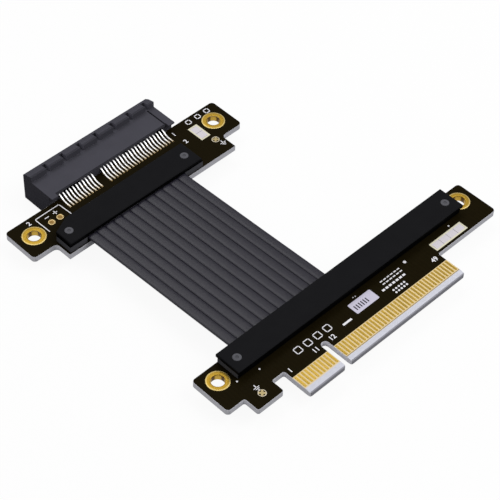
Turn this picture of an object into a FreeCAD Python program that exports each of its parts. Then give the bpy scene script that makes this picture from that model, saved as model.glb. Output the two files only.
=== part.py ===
"""Slot extension cable: an eight-lane edge connector, a flat ribbon of twelve strips and a four-lane socket.

Frame: millimetres, +Z up. X runs along the two connectors and Y along the ribbon, from the edge tongue at -Y
to the socket's mouth at +Y. The origin is the middle of the underside of the whole part.
Each end has a frame of its own: X from the middle of its contact row, Z from the board's mid-plane, and Y
from the tongue's nose on the edge board, or from the socket board's edge that faces the cable.
"""
import FreeCAD, Part
import os
from collections import namedtuple
from types import SimpleNamespace

import Sketcher

# Driving sizes in millimetres, and counts, each written once
DIMENSIONS = (
    # Boards and the copper on them
    ("board_thickness", 1.6),
    ("copper_thickness", 0.05),
    ("corner_radius", 1.0),
    ("inner_radius", 0.5),
    ("wing_radius", 1.2),
    ("mount_hole", 3.2),
    ("mount_ring", 5.5),
    ("round_pad", 1.8),
    ("tongue_offset", 10.85),
    # Slot interface shared by the tongue and the socket
    ("contact_pitch", 1.0),
    ("key_span", 3.0),
    ("key_width", 1.9),
    ("short_count", 11),
    ("edge_long_count", 38),
    ("socket_long_count", 21),
    # Edge board
    ("edge_length", 88.8),
    ("edge_depth", 20.25),
    ("edge_hole_end", 4.3),
    ("edge_hole_inset", 3.95),
    ("tongue_margin", 0.65),
    ("tongue_length", 8.2),
    ("tab_gap", 3.7),
    ("tab_width", 7.9),
    ("tab_setback", 4.45),
    ("ledge_setback", 8.7),
    ("bevel_length", 1.3),
    ("bevel_drop", 0.15),
    ("finger_width", 0.62),
    ("finger_length", 4.3),
    ("edge_ground_inset", 2.85),
    # Socket board
    ("socket_length", 67.0),
    ("socket_depth", 15.5),
    ("wing_width", 6.8),
    ("wing_setback", 4.75),
    ("socket_tab_margin", 0.36),
    ("socket_hole_end", 4.55),
    ("socket_hole_y", 10.25),
    ("power_pad_gap", 5.9),
    ("power_pad_y", 10.85),
    ("power_pad_pitch", 2.55),
    ("socket_ground_inset", 2.0),
    ("socket_ground_y", 4.95),
    # Socket housing
    ("housing_end", 3.2),
    ("housing_gap", 0.1),
    ("housing_reach", 9.55),
    ("housing_half_height", 3.9),
    ("housing_top", 3.4),
    ("ridge_height", 5.0),
    ("ridge_run", 2.95),
    ("ridge_crest", 0.2),
    ("ridge_lip", 1.2),
    ("ridge_lip_drop", 0.4),
    ("ridge_slot_count", 7),
    ("ridge_slot_width", 1.1),
    ("ridge_slot_run", 2.0),
    ("ridge_end", 2.25),
    ("end_groove_width", 0.4),
    ("end_groove_depth", 0.4),
    ("clasp_width", 1.9),
    ("clasp_reach", 1.2),
    ("clasp_tab", 0.4),
    ("clasp_clearance", 0.03),
    ("slot_opening", 1.9),
    ("slot_margin", 0.85),
    ("slot_depth", 7.6),
    ("slot_lead_in", 0.5),
    ("key_clearance", 0.15),
    ("cavity_clearance", 0.075),
    ("cavity_roof", 0.3),
    ("cavity_lip", 1.0),
    # Socket contacts and their pads
    ("contact_width", 0.42),
    ("contact_thickness", 0.2),
    ("contact_foot", 1.8),
    ("contact_rise", 1.35),
    ("contact_slope", 1.75),
    ("contact_hold", 1.8),
    ("contact_press", 0.3),
    ("contact_tip", 1.1),
    ("contact_flare", 0.35),
    ("tip_clearance", 0.35),
    ("pad_width", 0.5),
    ("pad_toe", 0.12),
    ("pad_edge", 0.45),
    # Ribbon and the wires that come out of its ends
    ("strip_count", 12),
    ("strip_pitch", 2.57),
    ("strip_thickness", 0.85),
    ("strip_rise", 0.7),
    ("strip_chamfer", 0.25),
    ("ribbon_span", 46.25),
    ("ribbon_entry", 2.3),
    ("ribbon_offset", 5.3),
    ("ribbon_shear", 1.6),
    ("wires_per_strip", 2),
    ("wire_width", 0.35),
    ("wire_slope", 1.0),
    ("wire_foot", 1.3),
    ("wire_pad_width", 0.7),
    ("wire_pad_margin", 0.2),
    # Covers and their rivets
    ("lid_gap", 0.15),
    ("lid_thickness", 1.0),
    ("lid_overhang", 0.4),
    ("lid_end_overhang", 0.2),
    ("lid_chamfer", 0.2),
    ("cover_inset", 0.05),
    ("cable_wall", 0.9),
    ("bay_margin", 0.3),
    ("ribbon_clearance", 0.15),
    ("socket_cover_depth", 8.3),
    ("socket_cover_end", 5.835),
    ("socket_cover_shift", 0.315),
    ("socket_cover_cut_x", 7.8),
    ("socket_cover_cut_y", 2.9),
    ("edge_cover_depth", 7.35),
    ("edge_cover_end", 4.7),
    ("hole_cover_gap", 0.58),
    ("ring_clearance", 0.1),
    ("ring_overhang", 0.55),
    ("rivet_diameter", 2.1),
    ("edge_rivet_inset", 2.75),
    ("socket_rivet_inset", 2.95),
    ("rivet_setback", 0.25),
    ("rivet_head", 3.2),
    ("rivet_head_height", 0.7),
    ("rivet_proud", 0.08),
    ("rivet_clearance", 0.04),
)

# Two coordinates closer than this are one, when edges are picked by their place
MATCH = 1e-5

doc = FreeCAD.newDocument("extension_cable")
sheet = doc.addObject("Spreadsheet::Sheet", "sizes")


class Size:
    """A size as a number and as the expression on the sheet's cells that gives it."""

    def __init__(self, number, text):
        self.number = number
        self.text = text

    def __add__(self, other):
        other = as_size(other)
        return Size(self.number + other.number, f"({self.text} + {other.text})")

    def __sub__(self, other):
        other = as_size(other)
        return Size(self.number - other.number, f"({self.text} - {other.text})")

    def __rsub__(self, other):
        return as_size(other) - self

    def __mul__(self, other):
        other = as_size(other)
        return Size(self.number * other.number, f"({self.text} * {other.text})")

    def __truediv__(self, other):
        other = as_size(other)
        return Size(self.number / other.number, f"({self.text} / {other.text})")

    def __neg__(self):
        return Size(-self.number, f"(-1 * {self.text})")

    __radd__ = __add__
    __rmul__ = __mul__


def as_size(value):
    """Take a plain number as a size."""
    if isinstance(value, Size):
        return value
    return Size(value, f"{value}")


def fill_sheet():
    """Write the driving sizes to the sheet and return them by name."""
    named = {}
    for row, (alias, value) in enumerate(DIMENSIONS, start=1):
        cell = f"A{row}"
        sheet.set(cell, f"{value}")
        sheet.setAlias(cell, alias)
        named[alias] = Size(value, f"{sheet.Name}.{alias}")
    doc.recompute()
    return SimpleNamespace(**named)


d = fill_sheet()

# Sizes that follow from the driving ones
PAIR = as_size(2)
board_top = d.board_thickness / 2
socket_row = (d.short_count + d.socket_long_count - 2) * d.contact_pitch + d.key_span
edge_row = (d.short_count + d.edge_long_count - 2) * d.contact_pitch + d.key_span
long_start = (d.short_count - 1) * d.contact_pitch + d.key_span
key_middle = (d.short_count - 1) * d.contact_pitch + d.key_span / 2
housing_length = socket_row + d.housing_end * 2
housing_back = d.socket_depth + d.housing_gap
mouth = housing_back + d.housing_reach
contact_bend = housing_back - d.contact_slope
contact_toe = contact_bend - d.contact_foot
slot_half = d.slot_opening / 2
tongue_half = edge_row / 2 + d.tongue_margin
ribbon_width = d.strip_count * d.strip_pitch
wire_count = d.strip_count * d.wires_per_strip
wire_pitch = d.strip_pitch / d.wires_per_strip
strip_bottom = board_top + d.strip_rise
strip_middle = strip_bottom + d.strip_thickness / 2
strip_top = strip_bottom + d.strip_thickness
lid_bottom = strip_top + d.lid_gap
lid_top = lid_bottom + d.lid_thickness
wire_bend = d.ribbon_entry + d.wire_slope
wire_tip = wire_bend + d.wire_foot

# Along X in the socket's frame: the ribbon, its cover, and the board that reaches past both
socket_ribbon = -d.ribbon_offset
socket_cover_half = ribbon_width / 2 + d.socket_cover_end
socket_cover_left = socket_ribbon + d.socket_cover_shift - socket_cover_half
socket_cover_right = socket_ribbon + d.socket_cover_shift + socket_cover_half
socket_tab_left = socket_cover_left - d.socket_tab_margin
socket_left = socket_tab_left - d.wing_width
socket_right = socket_left + d.socket_length
socket_tab_right = socket_right - d.wing_width
socket_holes = (socket_left + d.socket_hole_end, socket_right - d.socket_hole_end)

# Along X in the edge board's frame: the ribbon, the cover and the two holes that stand off its ends
edge_ribbon = d.ribbon_shear - d.ribbon_offset - d.tongue_offset
edge_cover_left = edge_ribbon - ribbon_width / 2 - d.edge_cover_end
edge_first_hole = edge_cover_left - d.hole_cover_gap - d.mount_ring / 2
edge_left = edge_first_hole - d.edge_hole_end
edge_right = edge_left + d.edge_length
edge_holes = (edge_first_hole, edge_right - d.edge_hole_end)
edge_cover_right = edge_holes[1] - d.mount_ring / 2 - d.ring_clearance + d.ring_overhang
gap_left = -tongue_half - d.tab_gap
tab_left = gap_left - d.tab_width

# Places of the two ends in the part's frame
mid_height = d.housing_half_height
nose_y = -(d.edge_depth + d.ribbon_span + mouth) / 2
socket_middle = -(socket_left + edge_right + d.tongue_offset) / 2
socket_place = (socket_middle, nose_y + d.edge_depth + d.ribbon_span, mid_height)
edge_place = (socket_middle + d.tongue_offset, nose_y, mid_height)

# One end of the cable: its frame, the board edge that faces the cable, the way inward from it, its cover,
# how far the lid's right end overhangs, and where the rivets sit
End = namedtuple("End", "name place cable_edge inward ribbon cover_left cover_right cover_depth "
                        "right_overhang rivet_inset")

SOCKET = End("socket", socket_place, as_size(0), 1, socket_ribbon, socket_cover_left, socket_cover_right,
             d.socket_cover_depth, d.lid_end_overhang, d.socket_rivet_inset)
EDGE = End("edge", edge_place, d.edge_depth, -1, edge_ribbon, edge_cover_left, edge_cover_right,
           d.edge_cover_depth, d.ring_overhang, d.edge_rivet_inset)


def inward(end, distance):
    """Y in the end's frame at a distance inward from the board edge that faces the cable."""
    return end.cable_edge + distance * end.inward


def cover_front():
    """Distance inward of the lid's cable side."""
    return d.cover_inset - d.lid_overhang


def rivet_row(end):
    """Distance inward of the rivets, a little past the middle of the lid."""
    return cover_front() + end.cover_depth / 2 + d.rivet_setback


def bind(item, prop, size):
    """Tie a property to the sheet."""
    item.setExpression(prop, as_size(size).text)


def new_body(label, place):
    """Start a sub-part at a place of the part's frame."""
    body = doc.addObject("PartDesign::Body", label)
    body.Label = label
    for axis, value in zip("xyz", place):
        bind(body, f"Placement.Base.{axis}", value)
    return body


def shifted(place, along_x, along_y):
    """A place moved in the plane of the board."""
    return (place[0] + along_x, place[1] + along_y, place[2])


def origin_feature(body, role):
    """One of the body's own planes or axes."""
    return next(item for item in body.Origin.OriginFeatures if item.Role == role)


def new_sketch(body, role, offset=0):
    """A sketch on one of the body's planes, moved along the plane's normal."""
    sketch = body.newObject("Sketcher::SketchObject", "outline")
    sketch.AttachmentSupport = [(origin_feature(body, role), "")]
    sketch.MapMode = "FlatFace"
    bind(sketch, "AttachmentOffset.Base.z", offset)
    return sketch


def hold_point(sketch, geometry, point, place):
    """Tie a point of the sketch to its two coordinates."""
    for kind, size in zip(("DistanceX", "DistanceY"), place):
        constraint = Sketcher.Constraint(kind, -1, 1, geometry, point, size.number)
        bind(sketch, f"Constraints[{sketch.addConstraint(constraint)}]", size)


def draw_polygon(sketch, corners):
    """Draw a closed outline through the given corners."""
    corners = [(as_size(x), as_size(y)) for x, y in corners]
    spots = [FreeCAD.Vector(x.number, y.number, 0) for x, y in corners]
    lines = [sketch.addGeometry(Part.LineSegment(spots[i - 1], spots[i]), False) for i in range(len(spots))]
    for i, line in enumerate(lines):
        sketch.addConstraint(Sketcher.Constraint("Coincident", lines[i - 1], 2, line, 1))
    for line, corner in zip(lines, corners):
        hold_point(sketch, line, 2, corner)
    return sketch


def draw_rectangle(sketch, low, high):
    """Draw a rectangle between two opposite corners."""
    return draw_polygon(sketch, [low, (high[0], low[1]), high, (low[0], high[1])])


def draw_circle(sketch, centre, diameter):
    """Draw a circle about a centre."""
    centre = [as_size(value) for value in centre]
    spot = FreeCAD.Vector(centre[0].number, centre[1].number, 0)
    circle = sketch.addGeometry(Part.Circle(spot, FreeCAD.Vector(0, 0, 1), diameter.number / 2), False)
    hold_point(sketch, circle, 3, centre)
    constraint = Sketcher.Constraint("Diameter", circle, diameter.number)
    bind(sketch, f"Constraints[{sketch.addConstraint(constraint)}]", diameter)
    return sketch


def extrude(kind, sketch, length, side="One side", reverse=False):
    """Add a Pad or a Pocket of the sketch to its body."""
    body = sketch.getParentGeoFeatureGroup()
    feature = body.newObject(f"PartDesign::{kind}", kind.lower())
    feature.Profile = sketch
    feature.SideType = side
    feature.Reversed = reverse
    bind(feature, "Length", length)
    return feature


def revolve(sketch):
    """Turn the sketch about the body's upright axis."""
    body = sketch.getParentGeoFeatureGroup()
    feature = body.newObject("PartDesign::Revolution", "revolution")
    feature.Profile = sketch
    feature.ReferenceAxis = (origin_feature(body, "Z_Axis"), [""])
    return feature


def repeat(feature, pitch, count):
    """Repeat a feature along X."""
    body = feature.getParentGeoFeatureGroup()
    pattern = body.newObject("PartDesign::LinearPattern", "row")
    pattern.Originals = [feature]
    pattern.Direction = (origin_feature(body, "X_Axis"), [""])
    pattern.Mode = "Spacing"
    bind(pattern, "Offset", pitch)
    bind(pattern, "Occurrences", count)
    body.Tip = pattern
    return pattern


def dress(kind, feature, names, prop, size):
    """Add a Fillet or a Chamfer on named edges of a feature."""
    body = feature.getParentGeoFeatureGroup()
    dressing = body.newObject(f"PartDesign::{kind}", kind.lower())
    dressing.Base = (feature, names)
    bind(dressing, prop, size)
    return dressing


def edge_names(feature, wanted):
    """Names of the feature's edges whose two end points pass a test."""
    doc.recompute()
    names = []
    for number, edge in enumerate(feature.Shape.Edges, start=1):
        if wanted(edge.firstVertex().Point, edge.lastVertex().Point):
            names.append(f"Edge{number}")
    return names


def near(value, size):
    """Whether a measured coordinate is at a size."""
    return abs(value - as_size(size).number) < MATCH


def round_corners(feature, corners, radius):
    """Round the upright edges of a board at the given corners."""
    def wanted(start, end):
        at_corner = any(near(start.x, x) and near(start.y, y) for x, y in corners)
        return at_corner and near(end.x, start.x) and near(end.y, start.y)
    return dress("Fillet", feature, edge_names(feature, wanted), "Radius", radius)


def contact_rows(row_length, long_count):
    """First X and count of the short and the long group of a contact row."""
    return ((-row_length / 2, d.short_count), (long_start - row_length / 2, long_count))


def flat_rows(label, place, groups, pitch, width, span, underside=False):
    """Rows of flat copper pads on one face of a board."""
    body = new_body(label, place)
    level = -board_top if underside else board_top
    for first, count in groups:
        sketch = new_sketch(body, "XY_Plane", level)
        draw_rectangle(sketch, (first - width / 2, span[0]), (first + width / 2, span[1]))
        repeat(extrude("Pad", sketch, d.copper_thickness, reverse=underside), pitch, count)
    return body


def edge_board():
    """The board with the edge tongue: a shouldered outline with key notch, bevelled nose and holes."""
    body = new_body("edge_board", edge_place)
    outer = [(edge_left, d.ledge_setback), (edge_right, d.tongue_length), (edge_right, d.edge_depth),
             (edge_left, d.edge_depth)]
    inner = [(tab_left, d.ledge_setback), (gap_left, d.tongue_length), (-tongue_half, d.tongue_length),
             (tongue_half, d.tongue_length)]
    outline = draw_polygon(new_sketch(body, "XY_Plane"), [
        outer[0], inner[0], (tab_left, d.tab_setback), (gap_left, d.tab_setback), inner[1], inner[2],
        (-tongue_half, 0), (tongue_half, 0), inner[3], outer[1], outer[2], outer[3]])
    plate = extrude("Pad", outline, d.board_thickness, "Symmetric")
    rounded = round_corners(plate, outer, d.corner_radius)
    round_corners(rounded, inner, d.inner_radius)
    for side in (1, -1):
        wedge = [(0, board_top * side), (d.bevel_length, board_top * side),
                 (0, (board_top - d.bevel_drop) * side)]
        extrude("Pocket", draw_polygon(new_sketch(body, "YZ_Plane"), wedge), tongue_half * 2, "Symmetric")
    key_x = key_middle - edge_row / 2
    key_end = d.tongue_length - d.key_width / 2
    notch = draw_rectangle(new_sketch(body, "XY_Plane"), (key_x - d.key_width / 2, 0),
                           (key_x + d.key_width / 2, key_end))
    extrude("Pocket", notch, d.board_thickness, "Symmetric")
    holes = new_sketch(body, "XY_Plane")
    draw_circle(holes, (key_x, key_end), d.key_width)
    for x in edge_holes:
        draw_circle(holes, (x, d.edge_depth - d.edge_hole_inset), barrel(d.mount_hole))
    drill_rivets(holes, EDGE)
    extrude("Pocket", holes, d.board_thickness, "Symmetric")
    return body


def socket_board():
    """The board that carries the socket: a tab towards the cable between two set-back wings."""
    body = new_body("socket_board", socket_place)
    inner = [(socket_tab_left, d.wing_setback), (socket_tab_right, d.wing_setback)]
    outer = [(socket_right, d.wing_setback), (socket_right, d.socket_depth), (socket_left, d.socket_depth),
             (socket_left, d.wing_setback)]
    outline = draw_polygon(new_sketch(body, "XY_Plane"),
                           [inner[0], (socket_tab_left, 0), (socket_tab_right, 0), inner[1]] + outer)
    plate = extrude("Pad", outline, d.board_thickness, "Symmetric")
    rounded = round_corners(plate, outer, d.corner_radius)
    round_corners(rounded, inner, d.wing_radius)
    holes = new_sketch(body, "XY_Plane")
    for x in socket_holes:
        draw_circle(holes, (x, d.socket_hole_y), barrel(d.mount_hole))
    drill_rivets(holes, SOCKET)
    extrude("Pocket", holes, d.board_thickness, "Symmetric")
    return body


def barrel(hole):
    """Diameter of the drilled hole that leaves the given one once it is plated."""
    return hole + d.copper_thickness * 2


def rivet_hole():
    """Diameter of the hole that a rivet's shank passes."""
    return d.rivet_diameter + d.rivet_clearance * 2


def drill_rivets(sketch, end):
    """Draw the two rivet holes of an end's cover."""
    for x in (end.cover_left + end.rivet_inset, end.cover_right - end.rivet_inset):
        draw_circle(sketch, (x, inward(end, rivet_row(end))), rivet_hole())


def hole_plating(label, place, holes, along_y):
    """Plating of a board's two screw holes: a barrel in the board with a flat ring on each face."""
    body = new_body(label, shifted(place, holes[0], along_y))
    face = board_top + d.copper_thickness
    bore = d.mount_hole / 2
    wall = barrel(d.mount_hole) / 2
    ring = d.mount_ring / 2
    profile = [(bore, face), (ring, face), (ring, board_top), (wall, board_top),
               (wall, -board_top), (ring, -board_top), (ring, -face), (bore, -face)]
    repeat(revolve(draw_polygon(new_sketch(body, "XZ_Plane"), profile)), holes[1] - holes[0], PAIR)
    return body


def round_pads(label, place, pair_pitch=None):
    """One round pad or a pair on a board's upper face."""
    body = new_body(label, place)
    disc = draw_circle(new_sketch(body, "XY_Plane", board_top), (0, 0), d.round_pad)
    pad = extrude("Pad", disc, d.copper_thickness)
    if pair_pitch:
        repeat(pad, pair_pitch, PAIR)
    return body


def bent_rows(label, place, groups, pitch, width, thickness, line):
    """Rows of bent metal strips that follow a line in the YZ plane."""
    body = new_body(label, place)
    lower = [(y, z - thickness / 2) for y, z in line]
    upper = [(y, z + thickness / 2) for y, z in reversed(line)]
    for first, count in groups:
        sketch = draw_polygon(new_sketch(body, "YZ_Plane", first), lower + upper)
        repeat(extrude("Pad", sketch, width, "Symmetric"), pitch, count)
    return body


def contact_line(side):
    """Middle line of a socket contact: foot on its pad, rise, hold in the housing, beam and flared tip."""
    foot_level = board_top + d.copper_thickness + d.contact_thickness / 2
    hold_level = board_top + d.contact_rise
    press_level = slot_half - d.contact_press + d.contact_thickness / 2
    tip = mouth - d.cavity_lip - d.tip_clearance
    line = [(contact_toe, foot_level), (contact_bend, foot_level), (housing_back, hold_level),
            (housing_back + d.contact_hold, hold_level), (tip - d.contact_tip, press_level),
            (tip, press_level + d.contact_flare)]
    return [(y, z * side) for y, z in line]


def socket_housing():
    """The moulded socket: a ramped ridge over the mouth, keyed card slot, cavities and board clasps."""
    body = new_body("socket_housing", socket_place)
    crest = mouth - d.ridge_run
    ridge_back = crest - d.ridge_crest
    half_height = d.housing_half_height
    profile = [(housing_back, -half_height), (mouth, -half_height), (mouth, half_height),
               (mouth - d.ridge_lip, d.ridge_height - d.ridge_lip_drop), (crest, d.ridge_height),
               (ridge_back, d.ridge_height), (ridge_back, d.housing_top), (housing_back, d.housing_top)]
    extrude("Pad", draw_polygon(new_sketch(body, "YZ_Plane"), profile), housing_length, "Symmetric")

    half = housing_length / 2
    clasps = new_sketch(body, "XZ_Plane", -housing_back)
    draw_rectangle(clasps, (-half, -half_height), (d.clasp_width - half, d.housing_top))
    draw_rectangle(clasps, (half - d.clasp_width, -half_height), (half, d.housing_top))
    extrude("Pad", clasps, d.clasp_reach)
    grip = board_top + d.clasp_clearance
    grip_slot = draw_rectangle(new_sketch(body, "YZ_Plane"), (housing_back - d.clasp_reach, -grip),
                               (d.socket_depth + d.clasp_clearance, d.housing_top - d.clasp_tab))
    extrude("Pocket", grip_slot, housing_length, "Symmetric")

    slot_end = socket_row / 2 + d.slot_margin
    key_x = key_middle - socket_row / 2
    key_half = d.key_width / 2 - d.key_clearance
    slot = new_sketch(body, "XZ_Plane", -mouth)
    draw_rectangle(slot, (-slot_end, -slot_half), (key_x - key_half, slot_half))
    draw_rectangle(slot, (key_x + key_half, -slot_half), (slot_end, slot_half))
    slotted = extrude("Pocket", slot, d.slot_depth, reverse=True)

    def slot_rim(start, end):
        at_mouth = near(start.y, mouth) and near(end.y, mouth)
        return at_mouth and near(abs(start.z), slot_half) and near(end.z, start.z)
    dress("Chamfer", slotted, edge_names(slotted, slot_rim), "Size", d.slot_lead_in)

    cavity_width = d.contact_width + d.cavity_clearance * 2
    cavity_top = board_top + d.contact_rise + d.contact_thickness / 2 + d.cavity_roof
    for first, count in contact_rows(socket_row, d.socket_long_count):
        cavity = new_sketch(body, "YZ_Plane", first)
        for side in (1, -1):
            draw_rectangle(cavity, (housing_back, slot_half * side),
                           (mouth - d.cavity_lip, cavity_top * side))
        repeat(extrude("Pocket", cavity, cavity_width, "Symmetric"), d.contact_pitch, count)

    block = (housing_length - d.ridge_end) / d.ridge_slot_count
    first_slot = block - half
    ridge_slot = draw_rectangle(new_sketch(body, "XY_Plane", d.ridge_height),
                                (first_slot - d.ridge_slot_width / 2, ridge_back),
                                (first_slot + d.ridge_slot_width / 2, ridge_back + d.ridge_slot_run))
    repeat(extrude("Pocket", ridge_slot, d.ridge_height - d.housing_top), block, d.ridge_slot_count)
    groove_x = half - d.ridge_end
    groove = draw_rectangle(new_sketch(body, "XY_Plane", d.housing_top),
                            (groove_x - d.end_groove_width / 2, housing_back),
                            (groove_x + d.end_groove_width / 2, ridge_back))
    extrude("Pocket", groove, d.end_groove_depth)
    return body


def cover_outline(end, left_inset, right_inset, side_inset, cut):
    """Outline of a lid or skirt, drawn in from the lid's edge; cut takes off the corner by the power pads."""
    left = end.cover_left + left_inset
    right = end.cover_right - right_inset
    near_side = inward(end, cover_front() + side_inset)
    far_distance = cover_front() + end.cover_depth - side_inset
    far_side = inward(end, far_distance)
    if not cut:
        return [(left, near_side), (right, near_side), (right, far_side), (left, far_side)]
    return [(left, near_side), (right, near_side), (right, far_side), (left + d.socket_cover_cut_x, far_side),
            (left, inward(end, far_distance - d.socket_cover_cut_y))]


def cover(end, cut=False):
    """A moulded cover: an overhanging lid on a skirt, hollow over the wires and open for the ribbon."""
    body = new_body(f"{end.name}_cover", end.place)
    skirt = draw_polygon(new_sketch(body, "XY_Plane", board_top),
                         cover_outline(end, d.lid_end_overhang, end.right_overhang, d.lid_overhang, cut))
    extrude("Pad", skirt, lid_bottom - board_top)
    lid = draw_polygon(new_sketch(body, "XY_Plane", lid_bottom), cover_outline(end, 0, 0, 0, cut))
    whole = extrude("Pad", lid, d.lid_thickness)

    def lid_rim(start, end_point):
        return near(start.z, lid_top) and near(end_point.z, lid_top)
    dress("Chamfer", whole, edge_names(whole, lid_rim), "Size", d.lid_chamfer)

    ribbon_left = end.ribbon - ribbon_width / 2
    ribbon_right = end.ribbon + ribbon_width / 2
    bay_start = d.cover_inset + d.cable_wall
    bay_end = wire_tip + d.wire_pad_margin + d.bay_margin
    bay = draw_rectangle(new_sketch(body, "XY_Plane", board_top),
                         (ribbon_left - d.bay_margin, inward(end, bay_start)),
                         (ribbon_right + d.bay_margin, inward(end, bay_end)))
    extrude("Pocket", bay, lid_bottom - board_top, reverse=True)
    doorway = draw_rectangle(new_sketch(body, "XY_Plane", board_top),
                             (ribbon_left - d.ribbon_clearance, inward(end, d.cover_inset)),
                             (ribbon_right + d.ribbon_clearance, inward(end, bay_start)))
    extrude("Pocket", doorway, strip_top + d.ribbon_clearance - board_top, reverse=True)
    holes = new_sketch(body, "XY_Plane", board_top)
    drill_rivets(holes, end)
    extrude("Pocket", holes, lid_top - board_top, reverse=True)
    return body


def cover_rivets(end):
    """The two rivets of a cover: a shank through lid and board, with a head under the board."""
    first = end.cover_left + end.rivet_inset
    place = shifted(end.place, first, inward(end, rivet_row(end)))
    body = new_body(f"{end.name}_cover_rivets", place)
    shank = d.rivet_diameter / 2
    head = d.rivet_head / 2
    face = lid_top + d.rivet_proud
    foot = -(board_top + d.rivet_head_height)
    profile = [(0, face), (shank, face), (shank, -board_top), (head, -board_top), (head, foot), (0, foot)]
    rivet = revolve(draw_polygon(new_sketch(body, "XZ_Plane"), profile))
    repeat(rivet, end.cover_right - end.cover_left - end.rivet_inset * 2, PAIR)
    return body


def ribbon_strip(number):
    """One flat strip, from inside one cover to inside the other, slanted by the ribbon's shear."""
    left = (number - d.strip_count / 2) * d.strip_pitch - d.ribbon_offset
    start = shifted(socket_place, left, d.ribbon_entry)
    body = new_body(f"ribbon_strip_{number + 1:02d}", start)
    section = draw_rectangle(new_sketch(body, "XZ_Plane"), (0, strip_bottom), (d.strip_pitch, strip_top))
    length = d.ribbon_span + d.ribbon_entry * 2
    strip = extrude("Pad", section, length)
    strip.UseCustomVector = True
    strip.AlongSketchNormal = True
    bind(strip, "Direction.x", d.ribbon_shear)
    bind(strip, "Direction.y", -length)
    bind(strip, "Direction.z", 0)

    def runs_along(first, last):
        return abs(first.y - last.y) > length.number / 2
    dress("Chamfer", strip, edge_names(strip, runs_along), "Size", d.strip_chamfer)
    return body


def wire_ends(end):
    """Bare wire ends: out of the strips, down to the board and along their pads."""
    pad_level = board_top + d.copper_thickness + d.wire_width / 2
    line = [(d.ribbon_entry, strip_middle), (wire_bend, pad_level), (wire_tip, pad_level)]
    line = [(inward(end, distance), level) for distance, level in line]
    return bent_rows(f"{end.name}_wire_ends", end.place, wire_groups(end), wire_pitch,
                     d.wire_width, d.wire_width, line)


def wire_groups(end):
    """First X and count of the ribbon's wires at an end."""
    return ((end.ribbon - (ribbon_width - wire_pitch) / 2, wire_count),)


def wire_pads(end):
    """The pads that the ribbon's wires are soldered to."""
    span = (inward(end, wire_bend - d.wire_pad_margin), inward(end, wire_tip + d.wire_pad_margin))
    return flat_rows(f"{end.name}_wire_pads", end.place, wire_groups(end), wire_pitch, d.wire_pad_width, span)


def build():
    """Build every sub-part."""
    finger_span = (d.bevel_length, d.bevel_length + d.finger_length)
    finger_groups = contact_rows(edge_row, d.edge_long_count)
    contact_groups = contact_rows(socket_row, d.socket_long_count)
    pad_span = (contact_toe - d.pad_toe, d.socket_depth - d.pad_edge)
    parts = [edge_board(), socket_board(), socket_housing()]
    for name, underside in (("upper", False), ("lower", True)):
        side = -1 if underside else 1
        parts.append(flat_rows(f"edge_fingers_{name}", edge_place, finger_groups, d.contact_pitch,
                               d.finger_width, finger_span, underside))
        parts.append(flat_rows(f"socket_pads_{name}", socket_place, contact_groups, d.contact_pitch,
                               d.pad_width, pad_span, underside))
        parts.append(bent_rows(f"socket_contacts_{name}", socket_place, contact_groups, d.contact_pitch,
                               d.contact_width, d.contact_thickness, contact_line(side)))
    parts.append(hole_plating("edge_hole_plating", edge_place, edge_holes, d.edge_depth - d.edge_hole_inset))
    parts.append(hole_plating("socket_hole_plating", socket_place, socket_holes, d.socket_hole_y))
    parts.append(round_pads("edge_ground_pad", shifted(edge_place, (tab_left + gap_left) / 2,
                                                       d.tab_setback + d.edge_ground_inset)))
    socket_ground_x = socket_tab_right - d.socket_ground_inset
    parts.append(round_pads("socket_ground_pad", shifted(socket_place, socket_ground_x, d.socket_ground_y)))
    parts.append(round_pads("socket_power_pads", shifted(socket_place, socket_holes[0] + d.power_pad_gap,
                                                         d.power_pad_y), d.power_pad_pitch))
    for end in (SOCKET, EDGE):
        parts.append(cover(end, cut=end is SOCKET))
        parts.append(cover_rivets(end))
        parts.append(wire_ends(end))
        parts.append(wire_pads(end))
    parts.extend(ribbon_strip(number) for number in range(int(d.strip_count.number)))
    return parts


def check(parts):
    """Stop if any object failed or any sub-part has no valid solid."""
    doc.recompute()
    failed = [item.Name for item in doc.Objects if {"Invalid", "Error"} & set(item.State)]
    failed += [part.Label for part in parts if part.Shape.isNull() or not part.Shape.isValid()]
    if failed:
        raise RuntimeError(f"Not built: {failed}")


def export(parts):
    """Write each sub-part to a file of its own."""
    os.makedirs("parts", exist_ok=True)
    for part in parts:
        part.Shape.exportStep(f"parts/{part.Label}.step")


sub_parts = build()
check(sub_parts)
export(sub_parts)
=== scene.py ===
"""Looks of the slot extension cable: finishes, softened mouldings, contacts, solder and board printing."""
import math
import random

import bmesh
import bpy
from mathutils import Matrix, Vector


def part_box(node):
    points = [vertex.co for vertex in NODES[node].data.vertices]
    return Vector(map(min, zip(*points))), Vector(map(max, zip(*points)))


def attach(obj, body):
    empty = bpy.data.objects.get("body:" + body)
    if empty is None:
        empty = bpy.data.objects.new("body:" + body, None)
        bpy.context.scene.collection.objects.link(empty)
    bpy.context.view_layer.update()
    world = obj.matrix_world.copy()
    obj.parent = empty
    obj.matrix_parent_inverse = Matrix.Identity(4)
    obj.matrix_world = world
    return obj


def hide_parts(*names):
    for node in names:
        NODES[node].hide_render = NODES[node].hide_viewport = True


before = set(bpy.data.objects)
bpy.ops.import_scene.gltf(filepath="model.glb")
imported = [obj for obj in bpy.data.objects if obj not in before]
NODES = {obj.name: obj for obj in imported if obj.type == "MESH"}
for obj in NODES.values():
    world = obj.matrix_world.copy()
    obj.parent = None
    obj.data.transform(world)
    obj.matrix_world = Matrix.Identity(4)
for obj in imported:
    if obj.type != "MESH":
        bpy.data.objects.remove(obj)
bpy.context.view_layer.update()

MM = 0.001
BODY = "root"

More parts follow.
